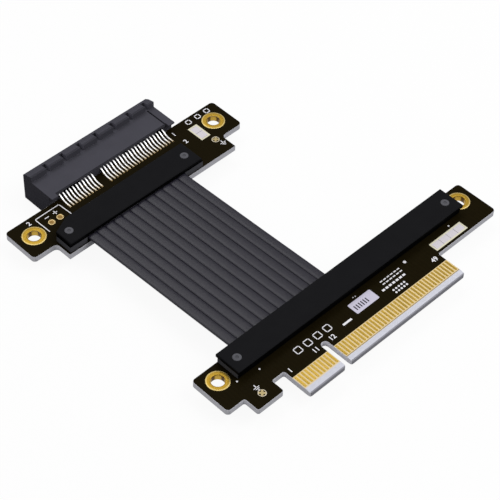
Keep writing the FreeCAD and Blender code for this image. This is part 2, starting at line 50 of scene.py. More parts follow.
# Places read from the frame, in metres
EDGE_LOW, EDGE_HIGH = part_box("edge_board")
FINGER_LOW, FINGER_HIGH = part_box("edge_fingers_upper")
CONTACT_LOW, CONTACT_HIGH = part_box("socket_contacts_upper")
COVER_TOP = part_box("edge_cover")[1].z
BOARD_TOP = EDGE_HIGH.z
BOARD_BOTTOM = EDGE_LOW.z
STRIP_NODES = sorted(name for name in NODES if name.startswith("ribbon_strip_"))

# References of the two boards: middle of the contact row, and the tongue's nose or the edge at the cable
EDGE_ORIGIN = Vector(((FINGER_LOW.x + FINGER_HIGH.x) / 2, EDGE_LOW.y, BOARD_TOP))
SOCKET_ORIGIN = Vector(((CONTACT_LOW.x + CONTACT_HIGH.x) / 2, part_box("socket_board")[0].y, BOARD_TOP))

# Camera of the photograph: where its axis meets the boards' top, stand-off, angles, lens and nearest view
CAMERA_TARGET = EDGE_ORIGIN + Vector((-5.805, 39.12, 0.0)) * MM
CAMERA_DISTANCE = 401.84 * MM
CAMERA_AZIMUTH = 46.22
CAMERA_ELEVATION = 47.536
CAMERA_ROLL = 2.418
CAMERA_LENS = 123.96
CAMERA_SENSOR = 36.0
CAMERA_NEAR = 10 * MM

# Lamps: direction from the part, distance and width in metres, and power in watts
LAMPS = (
    ("front_right", (0.49, -0.42, 0.77), 0.9, 0.6, 4.0),
    ("back_right", (0.205, 0.467, 0.86), 0.9, 0.45, 1.6),
    ("back_left", (-0.40, 0.47, 0.79), 0.9, 0.4, 0.8),
)

# Surround: its level on the part and in reflections
WORLD_LEVEL = 0.35
WORLD_IN_METAL = 0.55

# Floor: reach in metres, its tone for bounced light and as seen, and the share of its own glow as seen
FLOOR_REACH = 3.0
FLOOR_BOUNCE = 0.3
FLOOR_PALE = 0.95
FLOOR_GLOW = 0.93

# Tints of the dark greys
WARM = (1.35, 0.97, 0.30)
COOL = (1.0, 1.0, 1.12)
VIOLET = (1.0, 0.98, 1.20)


def tone(value, tint):
    """A tinted grey as a colour."""
    return (value * tint[0], value * tint[1], value * tint[2], 1.0)


def add_node(tree, kind, inputs=None, **settings):
    """Add a shader node to a tree; its inputs are numbers, colours or other nodes' outputs."""
    node = tree.nodes.new("ShaderNode" + kind)
    for key, value in settings.items():
        setattr(node, key, value)
    for key, value in (inputs or {}).items():
        if isinstance(value, bpy.types.NodeSocket):
            tree.links.new(value, node.inputs[key])
        else:
            node.inputs[key].default_value = value
    return node


def calculate(tree, operation, *values):
    """One arithmetic step."""
    return add_node(tree, "Math", dict(enumerate(values)), operation=operation).outputs[0]


def spread(tree, value, low, high):
    """A value from 0 to 1 spread over a range."""
    inputs = {"Value": value, "To Min": low, "To Max": high}
    return add_node(tree, "MapRange", inputs).outputs["Result"]


class Look:
    """A material's node tree, built with short calls."""

    def __init__(self, name, **settings):
        self.material = bpy.data.materials.new(name)
        self.material.use_nodes = True
        self.tree = self.material.node_tree
        self.shader = self.tree.nodes["Principled BSDF"]
        for socket, value in settings.items():
            self.shader.inputs[socket.replace("_", " ")].default_value = value
        self.place = self.add("TexCoord").outputs["Object"]
        self.x, self.y, self.z = self.add("SeparateXYZ", {"Vector": self.place}).outputs

    def add(self, kind, inputs=None, **settings):
        """Add a node to the material."""
        return add_node(self.tree, kind, inputs, **settings)

    def set(self, socket, value):
        """Link an output to one of the shader's sockets."""
        self.tree.links.new(value, self.shader.inputs[socket])

    def math(self, operation, *values):
        """One arithmetic step."""
        return calculate(self.tree, operation, *values)

    def both(self, first, second):
        """1 where two masks are 1."""
        return self.math("MULTIPLY", first, second)

    def above(self, value, level, blur):
        """1 above a level and 0 below it, with a smooth change over the blur."""
        inputs = {"Value": value, "From Min": level - blur / 2, "From Max": level + blur / 2}
        return self.add("MapRange", inputs, interpolation_type="SMOOTHSTEP").outputs["Result"]

    def below(self, value, level, blur):
        """1 below a level and 0 above it."""
        return self.math("SUBTRACT", 1.0, self.above(value, level, blur))

    def band(self, value, low, high, blur):
        """1 between two levels and 0 outside them."""
        return self.both(self.above(value, low, blur), self.below(value, high, blur))

    def spread(self, value, low, high):
        """A value from 0 to 1 spread over a range."""
        return spread(self.tree, value, low, high)

    def blend(self, amount, first, second):
        """Mix two colours."""
        inputs = {"Factor": amount, 6: first, 7: second}
        return self.add("Mix", inputs, data_type="RGBA").outputs[2]

    def greys(self, amount, low, high, tint):
        """Mix two greys of one tint."""
        return self.blend(amount, tone(low, tint), tone(high, tint))

    def noise(self, per_mm, detail, stretch=(1, 1, 1)):
        """Noise with a number of grains to the millimetre, and a stretch along the axes."""
        scaled = self.add("Mapping", {"Vector": self.place, "Scale": [s / MM for s in stretch]})
        inputs = {"Vector": scaled.outputs["Vector"], "Scale": per_mm, "Detail": detail}
        return self.add("TexNoise", inputs).outputs["Fac"]

    def wave(self, value, pitch):
        """A sine between 0 and 1 along a coordinate."""
        angle = self.math("MULTIPLY", value, 2 * math.pi / pitch)
        return self.math("MULTIPLY_ADD", self.math("SINE", angle), 0.5, 0.5)

    def facing(self, axis):
        """How far the surface faces along an axis, either way, from 0 to 1."""
        normal = self.add("NewGeometry").outputs["True Normal"]
        return self.math("ABSOLUTE", self.add("SeparateXYZ", {"Vector": normal}).outputs[axis])

    def away(self, centres):
        """Distance in plan from the nearest of some upright axes."""
        inputs = {0: self.place, 1: (1, 1, 0)}
        flat = self.add("VectorMath", inputs, operation="MULTIPLY").outputs[0]
        nearest = None
        for centre in centres:
            inputs = {0: flat, 1: (centre.x, centre.y, 0)}
            reach = self.add("VectorMath", inputs, operation="DISTANCE").outputs["Value"]
            nearest = self.math("MINIMUM", nearest, reach) if nearest else reach
        return nearest

    def bump(self, height, depth_mm):
        """Relief of a given depth."""
        inputs = {"Height": height, "Distance": depth_mm * MM, "Strength": 1.0}
        self.set("Normal", self.add("Bump", inputs).outputs["Normal"])

    def surface(self, colour, smooth, rough, texture):
        """Set the colour and a texture, with the roughness between two values, and give the material."""
        grain, relief, depth_mm = texture
        self.set("Base Color", colour)
        self.set("Roughness", self.spread(self.noise(*grain), smooth, rough))
        self.bump(self.noise(*relief), depth_mm)
        return self.material


# Textures: noise of the roughness and of the relief, as Look.noise takes them, and the relief's depth in mm
MOULDED = ((2.0, 4.0), (9.0, 3.0), 0.012)
DRAWN = ((5.0, 3.0, (3, 0.4, 1)), (8.0, 2.0, (2, 0.5, 1)), 0.002)
PLATED = ((3.0, 3.0, (3, 0.3, 1)), (6.0, 2.0, (2, 0.4, 1)), 0.002)
ROLLED = ((1.5, 3.0), (4.0, 2.0), 0.0008)
PRINTED = ((6.0, 2.0), (8.0, 2.0), 0.004)

# Blurs of painted edges
SOFT = 0.1 * MM
SHARP = 0.05 * MM

# Tongue: where it starts beside the tab, where its bare laminate, bevel, dark edge and nose face end, and
# the blurs of the bevel and the nose face
TONGUE_START = FINGER_LOW.x - 1.5 * MM
BARE_END = FINGER_HIGH.y + 0.12 * MM
BEVEL_END = FINGER_LOW.y + 0.45 * MM
NOSE_EDGE = EDGE_LOW.y + 0.33 * MM
NOSE_FACE = EDGE_LOW.y + 0.12 * MM
BEVEL_BLUR = 0.4 * MM
NOSE_BLUR = 0.03 * MM

# Thin dark line painted across the tongue's longer part: its front and back, where it starts, and its blur
DARK_LINE_FRONT = FINGER_LOW.y + 0.30 * MM
DARK_LINE_BACK = FINGER_LOW.y + 0.52 * MM
DARK_LINE_START = FINGER_LOW.x + 12.0 * MM
DARK_LINE_BLUR = 0.06 * MM

# Pitch of the copper lines, and of the laminate's layers
TRACE_PITCH = 1.0 * MM
LAYER_PITCH = 0.4 * MM


def traces(look):
    """Copper lines under the mask, between each row of contacts and its cover: 1 on a line."""
    on_edge = look.band(look.y, FINGER_HIGH.y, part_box("edge_cover")[0].y, SOFT)
    on_socket = look.band(look.y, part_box("socket_cover")[1].y, CONTACT_LOW.y, SOFT)
    line = look.above(look.wave(look.x, TRACE_PITCH), 0.62, 0.2)
    return look.both(line, look.math("ADD", on_edge, on_socket))


def laminate(look):
    """Layers of glass cloth on a cut side, from 0 to 1."""
    cloth = look.math("MULTIPLY", look.noise(3.0, 3.0, (0.25, 0.25, 4.0)), 0.65)
    return look.math("MULTIPLY_ADD", look.wave(look.z, LAYER_PITCH), 0.35, cloth)


def board_faces(look, mask, nose):
    """Colour of the faces: mask, and on the tongue bare laminate, a bevel, a dark edge and a thin dark line.
    """
    bare = look.blend(look.noise(5.0, 2.0), (0.80, 0.60, 0.28, 1), (0.90, 0.72, 0.40, 1))
    bevel = look.blend(look.noise(3.0, 2.0, (0.3, 1, 1)), (0.63, 0.64, 0.72, 1), (0.75, 0.76, 0.84, 1))
    on_tongue = look.above(look.x, TONGUE_START, SOFT)
    paints = ((bare, BARE_END, SHARP), (bevel, BEVEL_END, BEVEL_BLUR), (nose, NOSE_EDGE, SHARP))
    colour = mask
    for paint, end, blur in paints:
        in_front = look.both(look.below(look.y, end, blur), on_tongue)
        colour = look.blend(in_front, colour, paint)
    across = look.band(look.y, DARK_LINE_FRONT, DARK_LINE_BACK, DARK_LINE_BLUR)
    dark_line = look.both(across, look.above(look.x, DARK_LINE_START, SOFT))
    return look.blend(dark_line, colour, (0.40, 0.30, 0.13, 1))


def board_sides(look, layers, nose):
    """Colour of the cut sides: pale layers, painted light on the sides that face along X, and dark on the
    nose.
    """
    side = look.blend(layers, tone(0.52, COOL), tone(0.80, (1, 1, 1.05)))
    lit_flank = look.blend(layers, tone(0.84, COOL), tone(0.97, (0.98, 0.98, 1.0)))
    # Painted light: the cut sides that face along X are made paler than the others
    side = look.blend(look.above(look.facing("X"), 0.6, 0.3), side, lit_flank)
    return look.blend(look.below(look.y, NOSE_FACE, NOSE_BLUR), side, nose)


def solder_mask():
    """Black solder mask over faint traces, with pale laminate on the cut sides and on the tongue."""
    look = Look("solder_mask", Specular_IOR_Level=0.01)
    grain = look.noise(1.2, 4.0)
    line = traces(look)
    mask = look.greys(grain, 0.0062, 0.0090, WARM)
    mask = look.blend(look.math("MULTIPLY", line, 0.12), mask, tone(0.013, WARM))
    layers = laminate(look)
    nose = look.greys(layers, 0.24, 0.36, COOL)
    on_side = look.below(look.facing("Z"), 0.96, 0.03)
    faces, sides = board_faces(look, mask, nose), board_sides(look, layers, nose)
    look.set("Base Color", look.blend(on_side, faces, sides))
    look.set("Roughness", look.math("MULTIPLY_ADD", on_side, 0.3, look.spread(grain, 0.30, 0.44)))
    ripple = look.math("MULTIPLY", look.noise(3.0, 3.0), 0.3)
    look.bump(look.math("MULTIPLY_ADD", line, 0.3, ripple), 0.02)
    return look.material


def gold(name, dull, clear):
    """Gold plating with a faint drawn grain, and tarnish that changes across a row of contacts."""
    look = Look(name, Metallic=1.0)
    face = look.blend(look.noise(0.8, 3.0, (1, 0.15, 1)), dull, clear)
    on_wall = look.below(look.facing("Z"), 0.5, 0.6)
    return look.surface(look.blend(on_wall, face, (0.30, 0.16, 0.02, 1)), 0.28, 0.40, PLATED)


def ring_gold(name, centres, highlight_radius):
    """Gold of the screw holes: a painted highlight on the rim, and a bore with painted shade in brown where
    it faces along X or Y.
    """
    look = Look(name, Metallic=1.0)
    cloud = look.noise(0.5, 4.0)
    face = look.blend(cloud, (0.38, 0.235, 0.026, 1), (0.46, 0.29, 0.040, 1))
    # Painted highlight: the rim is made paler than the ring's face
    rim_highlight = look.blend(cloud, (0.56, 0.42, 0.14, 1), (0.66, 0.52, 0.22, 1))
    face = look.blend(look.above(look.away(centres), highlight_radius, SOFT), face, rim_highlight)
    # Painted shade: bore walls facing along X or Y are dark brown, the slanting ones gold
    slant = look.both(look.facing("X"), look.facing("Y"))
    bore = look.blend(look.above(slant, 0.30, 0.24), (0.10, 0.05, 0.008, 1), (0.55, 0.36, 0.06, 1))
    on_wall = look.below(look.facing("Z"), 0.72, 0.5)
    return look.surface(look.blend(on_wall, face, bore), 0.42, 0.52, ROLLED)


def bright_metal(name, dull, clear, smooth, rough):
    """Tinned or bare metal: two near tones, with drawn grain."""
    look = Look(name, Metallic=1.0)
    return look.surface(look.blend(look.noise(1.5, 3.0), dull, clear), smooth, rough, DRAWN)


# Contacts: how far the gold flash reaches from the modelled toes, and the length over which it fades
FLASH_REACH = 0.45 * MM
FLASH_FADE = 1.3 * MM


def contact_metal():
    """Bright tin on the leads, with gold flash at the toes and dull sheared sides."""
    look = Look("contact_metal", Metallic=1.0)
    tin = look.blend(look.noise(1.5, 3.0), (0.74, 0.735, 0.735, 1), (0.83, 0.825, 0.825, 1))
    flash = look.blend(look.noise(2.5, 3.0), (0.50, 0.43, 0.33, 1), (0.62, 0.55, 0.44, 1))
    plated = look.blend(look.below(look.y, CONTACT_LOW.y + FLASH_REACH, FLASH_FADE), tin, flash)
    sheared = look.above(look.facing("X"), 0.8, 0.2)
    return look.surface(look.blend(sheared, plated, (0.10, 0.095, 0.09, 1)), 0.38, 0.48, DRAWN)


# Socket housing: height of its ridge, and the depths of the ridge's crest and of the housing's end
RIDGE_HEIGHT = 1.55 * MM
CREST_DEPTH = 0.1 * MM
END_DEPTH = 0.3 * MM


def housing_plastic():
    """Dark grey socket moulding, darker on the ridge's crest; faces along X get painted shade at its end and
    painted light on the ridge's slot walls.
    """
    look = Look("housing_plastic", Specular_IOR_Level=0.004)
    cloud = look.noise(0.25, 4.0)
    sides = look.greys(cloud, 0.0635, 0.079, VIOLET)
    crest = look.greys(cloud, 0.043, 0.053, VIOLET)
    # Painted shade for the faces along X at the end, and painted light for those on the ridge's slot walls
    end = look.greys(cloud, 0.047, 0.060, VIOLET)
    lit_slots = look.greys(cloud, 0.150, 0.185, VIOLET)
    low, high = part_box("socket_housing")
    at_top = look.above(look.z, high.z - CREST_DEPTH, SHARP)
    sides = look.blend(look.both(at_top, look.above(look.facing("Z"), 0.96, 0.04)), sides, crest)
    at_end = look.below(look.x, low.x + END_DEPTH, SOFT)
    in_ridge = look.above(look.z, high.z - RIDGE_HEIGHT, SHARP)
    # Faces along X: painted light in the ridge away from the end, painted shade elsewhere
    across = look.blend(look.both(in_ridge, look.below(at_end, 0.5, 0.2)), end, lit_slots)
    colour = look.blend(look.above(look.facing("X"), 0.8, 0.2), sides, across)
    return look.surface(colour, 0.45, 0.6, MOULDED)


def rivet_plastic(name, centres):
    """Grey moulded rivets, with painted shade in the dimple."""
    look = Look(name, Specular_IOR_Level=0.02)
    cloud = look.noise(0.6, 4.0)
    disc = look.greys(cloud, 0.097, 0.126, COOL)
    # Painted shade: the dimple is made darker than the disc
    dimple = look.greys(cloud, 0.078, 0.098, COOL)
    in_dimple = look.below(look.away(centres), RIVET_DIMPLE * MM, SOFT)
    return look.surface(look.blend(in_dimple, disc, dimple), 0.5, 0.65, MOULDED)


# Covers: Y between the two, thickness of the lid, and the seam between its tone and the skirt's
COVERS_MIDDLE = 0.0
LID_THICKNESS = 1.0 * MM
LID_SEAM = 0.03 * MM


def cover_plastic():
    """Black satin lid whose sides carry painted shade in a deeper black, on a skirt that is grey but for the
    edge cover's long sides, which carry the same painted shade.
    """
    look = Look("cover_plastic", Specular_IOR_Level=0.01)
    cloud = look.noise(0.25, 4.0)
    satin = look.greys(cloud, 0.0095, 0.0125, COOL)
    # Painted shade: a deeper black for the lid's sides and for the edge cover's long skirt sides
    shaded_black = look.greys(cloud, 0.0012, 0.0022, COOL)
    grey = look.greys(cloud, 0.070, 0.090, COOL)
    lid = look.blend(look.below(look.facing("Z"), 0.5, 0.2), satin, shaded_black)
    on_edge_cover = look.below(look.y, COVERS_MIDDLE, SOFT)
    # Painted shade on the edge cover's long sides, which face along Y
    shaded_long_side = look.both(on_edge_cover, look.above(look.facing("Y"), 0.5, 0.2))
    skirt = look.blend(shaded_long_side, grey, shaded_black)
    on_lid = look.above(look.z, COVER_TOP - LID_THICKNESS + LID_SEAM, LID_SEAM)
    return look.surface(look.blend(on_lid, skirt, lid), 0.42, 0.56, MOULDED)


def jacket():
    """Extruded strip jacket: dark grey with fine drawn lines along the ribbon."""
    look = Look("ribbon_jacket", Specular_IOR_Level=0.285)
    lines = look.noise(4.0, 3.0, (1.6, 0.02, 1.6))
    cloud = look.noise(0.12, 3.0)
    mixed = look.math("MULTIPLY_ADD", lines, 0.55, look.math("MULTIPLY", cloud, 0.45))
    look.set("Base Color", look.blend(mixed, (0.0145, 0.0132, 0.0210, 1), (0.0205, 0.0192, 0.0300, 1)))
    look.set("Roughness", look.spread(lines, 0.28, 0.38))
    look.bump(lines, 0.008)
    return look.material


def print_ink(name, thin, full):
    """Screen-printed ink, a little uneven."""
    look = Look(name, Specular_IOR_Level=0.2)
    return look.surface(look.blend(look.noise(2.5, 4.0), thin, full), 0.5, 0.7, PRINTED)


MATERIALS = {
    "solder_mask": solder_mask(),
    "gold_plating": gold("gold_plating", (0.35, 0.25, 0.10, 1), (0.46, 0.36, 0.19, 1)),
    "finger_gold": gold("finger_gold", (0.34, 0.22, 0.025, 1), (0.62, 0.40, 0.075, 1)),
    "contact_metal": contact_metal(),
    "cover_plastic": cover_plastic(),
    "ribbon_jacket": jacket(),
    "tinned_pad": bright_metal("tinned_pad", (0.40, 0.27, 0.10, 1), (0.54, 0.40, 0.18, 1), 0.3, 0.45),
    "wire_metal": bright_metal("wire_metal", (0.72, 0.42, 0.26, 1), (0.85, 0.55, 0.36, 1), 0.25, 0.4),
    "solder": bright_metal("solder", (0.20, 0.16, 0.10, 1), (0.34, 0.28, 0.19, 1), 0.3, 0.45),
    "plug": bright_metal("plug", (0.11, 0.058, 0.014, 1), (0.34, 0.215, 0.07, 1), 0.3, 0.5),
    "pad_rim": bright_metal("pad_rim", (0.46, 0.41, 0.31, 1), (0.58, 0.52, 0.41, 1), 0.35, 0.5),
    "pad_cross": bright_metal("pad_cross", (0.34, 0.27, 0.13, 1), (0.42, 0.34, 0.17, 1), 0.35, 0.5),
    "housing_plastic": housing_plastic(),
    "white_ink": print_ink("white_ink", (0.86, 0.85, 0.90, 1), (0.96, 0.95, 0.98, 1)),
    "panel_ink": print_ink("panel_ink", (0.60, 0.57, 0.70, 1), (0.71, 0.68, 0.82, 1)),
    "dark_ink": print_ink("dark_ink", (0.010, 0.009, 0.012, 1), (0.022, 0.020, 0.028, 1)),
    "label_ink": print_ink("label_ink", (0.66, 0.62, 0.66, 1), (0.77, 0.73, 0.78, 1)),
    "label_border": print_ink("label_border", (0.74, 0.70, 0.51, 1), (0.84, 0.81, 0.62, 1)),
}

# Distances in metres within which corners are one: in a new piece, and in a node's mesh
PIECE_WELD = 1e-8
NODE_WELD = 1e-7

# Angles in degrees: faces that are joined up as flat, edges that are shaded sharp, edges that are rounded,
# and the least and greatest bend that is rounded
FLAT_ANGLE = 0.5
SHADE_ANGLE = 35
EDGE_ANGLE = 40
BEND_ANGLES = (8, 70)


def add_object(name, data):
    """Put a new object in the scene."""
    added = bpy.data.objects.new(name, data)
    bpy.context.scene.collection.objects.link(added)
    return added


def final_mesh(source):
    """The mesh that an object's modifiers or lettering give."""
    graph = bpy.context.evaluated_depsgraph_get()
    return bpy.data.meshes.new_from_object(source.evaluated_get(graph))


def new_piece(name, shape, material, replaced=()):
    """Make a piece of the part from a shape that is being edited."""
    bmesh.ops.remove_doubles(shape, verts=shape.verts, dist=PIECE_WELD)
    bmesh.ops.recalc_face_normals(shape, faces=shape.faces)
    mesh = bpy.data.meshes.new(name)
    shape.to_mesh(mesh)
    shape.free()
    mesh.materials.append(MATERIALS[material])
    piece = add_object(name, mesh)
    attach(piece, BODY)
    for node in replaced:
        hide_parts(node)
    return piece


def set_smooth(piece):
    """Shade all faces of a piece smooth."""
    piece.data.polygons.foreach_set("use_smooth", [True] * len(piece.data.polygons))


def shade_smooth(piece, angle=SHADE_ANGLE):
    """Shade a piece smooth between its sharp edges."""
    set_smooth(piece)
    piece.data.set_sharp_from_angle(angle=math.radians(angle))


def bridge(shape, first, second):
    """Faces between two rings of as many corners."""
    for i in range(len(first)):
        shape.faces.new((first[i - 1], first[i], second[i], second[i - 1]))


def loft(shape, sections):
    """A closed solid through sections of as many points."""
    rings = [[shape.verts.new(point) for point in section] for section in sections]
    for first, second in zip(rings, rings[1:]):
        bridge(shape, first, second)
    shape.faces.new(rings[0])
    shape.faces.new(rings[-1])


def quarter(x, y, radius, start, steps):
    """Points of a quarter turn about a centre, from a starting angle."""
    angles = [start + math.pi / 2 * step / steps for step in range(steps + 1)]
    return [(x + radius * math.cos(angle), y + radius * math.sin(angle)) for angle in angles]


def node_shape(node):
    """A node's own shape for editing, with its flat faces joined up."""
    shape = bmesh.new()
    shape.from_mesh(NODES[node].data)
    bmesh.ops.remove_doubles(shape, verts=shape.verts, dist=NODE_WELD)
    flat = math.radians(FLAT_ANGLE)
    bmesh.ops.dissolve_limit(shape, angle_limit=flat, verts=shape.verts, edges=shape.edges)
    return shape


def islands(node):
    """Lowest and highest corners of each separate solid in a node."""
    shape = node_shape(node)
    left = set(shape.verts)
    boxes = []
    while left:
        front = {left.pop()}
        found = set()
        while front:
            found |= front
            front = {edge.other_vert(vert) for vert in front for edge in vert.link_edges} & left
            left -= front
        low = Vector(min(vert.co[axis] for vert in found) for axis in range(3))
        high = Vector(max(vert.co[axis] for vert in found) for axis in range(3))
        boxes.append((low, high))
    shape.free()
    return boxes


def round_solids(node):
    """Middle of the underside of each round solid in a node, and its radius and height in millimetres."""
    for low, high in islands(node):
        foot = Vector(((low.x + high.x) / 2, (low.y + high.y) / 2, low.z))
        yield foot, (high.x - low.x) / 2 / MM, (high.z - low.z) / MM


def round_edges(shape, edges, size, steps):
    """Round some edges of a shape."""
    bmesh.ops.bevel(shape, geom=edges, offset=size, segments=steps, profile=0.5, affect="EDGES",
                    offset_type="OFFSET", clamp_overlap=True)


# Socket cover as drawn: how far the lid is set back at the ribbon and at each end, how far the skirt is set
# back at the ribbon, and how far the two ends of the cut corner move to shorten it
LID_FROM_RIBBON = 0.85 * MM
LID_FROM_LEFT = 0.5 * MM
LID_FROM_RIGHT = 0.4 * MM
SKIRT_FROM_RIBBON = 0.27 * MM
CUT_FROM_LEFT = 0.74 * MM
CUT_FROM_BACK = 2.6 * MM

# Depth of the cover's border that holds its outer corners, and of the lid's own faces
COVER_BORDER = 0.45 * MM
LID_BORDER = 0.05 * MM


def reshape_socket_cover(shape):
    """Set back the lid and skirt of the socket cover, and shorten its cut corner."""
    low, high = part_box("socket_cover")
    for vert in shape.verts:
        x, y, z = vert.co
        at_left, at_right = x < low.x + COVER_BORDER, x > high.x - COVER_BORDER
        at_ribbon, at_back = y < low.y + COVER_BORDER, y > high.y - COVER_BORDER
        on_lid = min(x - low.x, high.x - x, y - low.y, high.y - y, high.z - z) < LID_BORDER
        if at_ribbon:
            vert.co.y += LID_FROM_RIBBON if on_lid else SKIRT_FROM_RIBBON
        elif at_left:
            vert.co.y += CUT_FROM_LEFT
        elif at_back and not at_right:
            vert.co.x -= CUT_FROM_BACK
        if on_lid and at_left:
            vert.co.x += LID_FROM_LEFT
        if on_lid and at_right:
            vert.co.x -= LID_FROM_RIGHT


# Corners of the edge board: size and steps of the cut at the tongue's nose and of the rounding at the foot
# beside it, how far the foot's front lies behind the nose, and how near to a front its corners lie
NOSE_CUT = 0.45 * MM
NOSE_STEPS = 2
FOOT_ROUND = 0.6 * MM
FOOT_STEPS = 5
FOOT_SETBACK = 4.45 * MM
FRONT_DEPTH = 0.2 * MM


def round_corners(shape, front, size, steps):
    """Round the corners along a front edge of the board, from one face to the other."""
    upright = [edge for edge in shape.edges
               if all(abs(vert.co.y - front) < FRONT_DEPTH for vert in edge.verts)
               and abs(edge.verts[0].co.x - edge.verts[1].co.x) < NODE_WELD]
    round_edges(shape, upright, size, steps)


def reshape_edge_board(shape):
    """Take the corners off the tongue's nose and off the foot beside it."""
    round_corners(shape, EDGE_LOW.y, NOSE_CUT, NOSE_STEPS)
    round_corners(shape, EDGE_LOW.y + FOOT_SETBACK, FOOT_ROUND, FOOT_STEPS)


# Feet of the contacts and their pads: how far the drawn ones reach past the modelled ones, and the depth
# that holds the corners that move for it
TOE_REACH = 0.45 * MM
TOE_DEPTH = 0.05 * MM


def lengthen_toes(shape):
    """Lengthen the feet or pads of a shape towards the cable."""
    front = min(vert.co.y for vert in shape.verts)
    for vert in shape.verts:
        if vert.co.y < front + TOE_DEPTH:
            vert.co.y -= TOE_REACH


# Rounded edges of the mouldings, bends of the contacts, and the bends' steps
BOARD_EDGE = 0.10 * MM
COVER_EDGE = 0.10 * MM
HOUSING_EDGE = 0.08 * MM
CONTACT_EDGE = 0.05 * MM
PAD_EDGE = 0.01 * MM
CONTACT_BEND = 0.8 * MM
BEND_STEPS = 6


def round_bends(shape, size):
    """Round the slighter bends of a shape."""
    low, high = (math.radians(angle) for angle in BEND_ANGLES)
    bends = [edge for edge in shape.edges if edge.is_manifold and low < edge.calc_face_angle() < high]
    round_edges(shape, bends, size, BEND_STEPS)


def softened(node, material, edge, bend=0.0, steps=2, reshape=None):
    """A node's copy, reshaped if asked, with its edges rounded, and its bends too where a size is given."""
    shape = node_shape(node)
    if reshape:
        reshape(shape)
    if bend:
        round_bends(shape, bend)
    piece = new_piece(node + "_softened", shape, material, [node])
    set_smooth(piece)
    bevel = piece.modifiers.new("edges", "BEVEL")
    bevel.width = edge
    bevel.segments = steps
    bevel.limit_method = "ANGLE"
    bevel.angle_limit = math.radians(EDGE_ANGLE)
    bevel.miter_outer = "MITER_ARC"
    piece.modifiers.new("normals", "WEIGHTED_NORMAL").keep_sharp = True
    piece.data = final_mesh(piece)
    piece.modifiers.clear()


def dress_mouldings():
    """Boards, covers, housing, contacts and contact pads with softened edges."""
    softened("edge_board", "solder_mask", BOARD_EDGE, reshape=reshape_edge_board)
    softened("socket_board", "solder_mask", BOARD_EDGE)
    softened("edge_cover", "cover_plastic", COVER_EDGE, steps=3)
    softened("socket_cover", "cover_plastic", COVER_EDGE, steps=3, reshape=reshape_socket_cover)
    softened("socket_housing", "housing_plastic", HOUSING_EDGE)
    for node in ("socket_contacts_upper", "socket_contacts_lower"):
        softened(node, "contact_metal", CONTACT_EDGE, CONTACT_BEND, reshape=lengthen_toes)
    for node in ("socket_pads_upper", "socket_pads_lower"):
        softened(node, "tinned_pad", PAD_EDGE, reshape=lengthen_toes)


def paint_nodes():
    """Finishes of the nodes that keep their own shape."""
    finishes = {
        "tinned_pad": ("edge_wire_pads", "socket_wire_pads"),
        "wire_metal": ("edge_wire_ends", "socket_wire_ends"),
    }
    for material, nodes in finishes.items():
        for node in nodes:
            mesh = NODES[node].data
            mesh.materials.clear()
            mesh.materials.append(MATERIALS[material])


# Turned pieces: faces round the axis, and the angle in degrees from which their edges are shaded sharp
TURNS = 64
TURNED_ANGLE = 30


def lathe(shape, profile, centre):
    """Turn a closed profile of radius and height, in millimetres, about an upright axis through a centre."""
    rings = []
    for turn in range(TURNS):
        angle = 2 * math.pi * turn / TURNS
        x, y = math.cos(angle), math.sin(angle)
        rings.append([shape.verts.new(centre + Vector((r * x, r * y, z)) * MM) for r, z in profile])
    for first, second in zip(rings, rings[1:] + rings[:1]):
        bridge(shape, first, second)


# Rivets, in millimetres: head under the board, shank, their edge breaks, and the dimple in the upper end
RIVET_HEAD = 1.6
RIVET_HEAD_HEIGHT = 0.7
RIVET_HEAD_BREAK = 0.15
RIVET_SHANK = 1.06
RIVET_SHANK_BREAK = 0.08
RIVET_DIMPLE = 0.42
RIVET_DIMPLE_SLOPE = 0.06
RIVET_DIMPLE_DEPTH = 0.1


def rivet_profile(height):
    """Half section of a rivet that stands on its head."""
    floor = height - RIVET_DIMPLE_DEPTH
    head = [(0, 0), (RIVET_HEAD - RIVET_HEAD_BREAK, 0), (RIVET_HEAD, RIVET_HEAD_BREAK),
            (RIVET_HEAD, RIVET_HEAD_HEIGHT)]
    shank = [(RIVET_SHANK, RIVET_HEAD_HEIGHT), (RIVET_SHANK, height - RIVET_SHANK_BREAK),
             (RIVET_SHANK - RIVET_SHANK_BREAK, height)]
    dimple = [(RIVET_DIMPLE, height), (RIVET_DIMPLE - RIVET_DIMPLE_SLOPE, floor), (0, floor)]
    return head + shank + dimple


def turn_rivets():
    """Rivets of the covers, with broken edges and a shallow dimple."""
    for node in ("edge_cover_rivets", "socket_cover_rivets"):
        shape = bmesh.new()
        centres = []
        for foot, _, height in round_solids(node):
            lathe(shape, rivet_profile(height), foot)
            centres.append(foot)
        MATERIALS[node] = rivet_plastic(node, centres)
        shade_smooth(new_piece(node + "_turned", shape, node, [node]), TURNED_ANGLE)


# Rings of the screw holes, in millimetres: bore, wall of the barrel, steps in and up of the ring's foot,
# slope of its rim, width of its painted highlight, its rounding into the bore; then the drawn ring as a
# share of the modelled one
BORE_RADIUS = 1.6
BARREL_WALL = 0.05
RING_FOOT_IN = 0.03
RING_FOOT_UP = 0.02
RING_SLOPE = 0.12
RING_RIM = 0.3
RING_ROUND = 0.24
RING_STEPS = 6
RING_SHARE = {"edge_hole_plating": 1.02, "socket_hole_plating": 1.08}


def ring_profile(ring, half_height):
    """Half section of a plated hole, about the board's mid-plane."""
    face = half_height + BARREL_WALL
    wall = BORE_RADIUS + BARREL_WALL
    upper = [(ring, half_height), (ring - RING_FOOT_IN, half_height + RING_FOOT_UP),
             (ring - RING_SLOPE, face)]
    upper += quarter(BORE_RADIUS + RING_ROUND, face - RING_ROUND, RING_ROUND, math.pi / 2, RING_STEPS)
    lower = [(r, -z) for r, z in reversed(upper)]
    return upper + lower + [(wall, -half_height), (wall, half_height)]


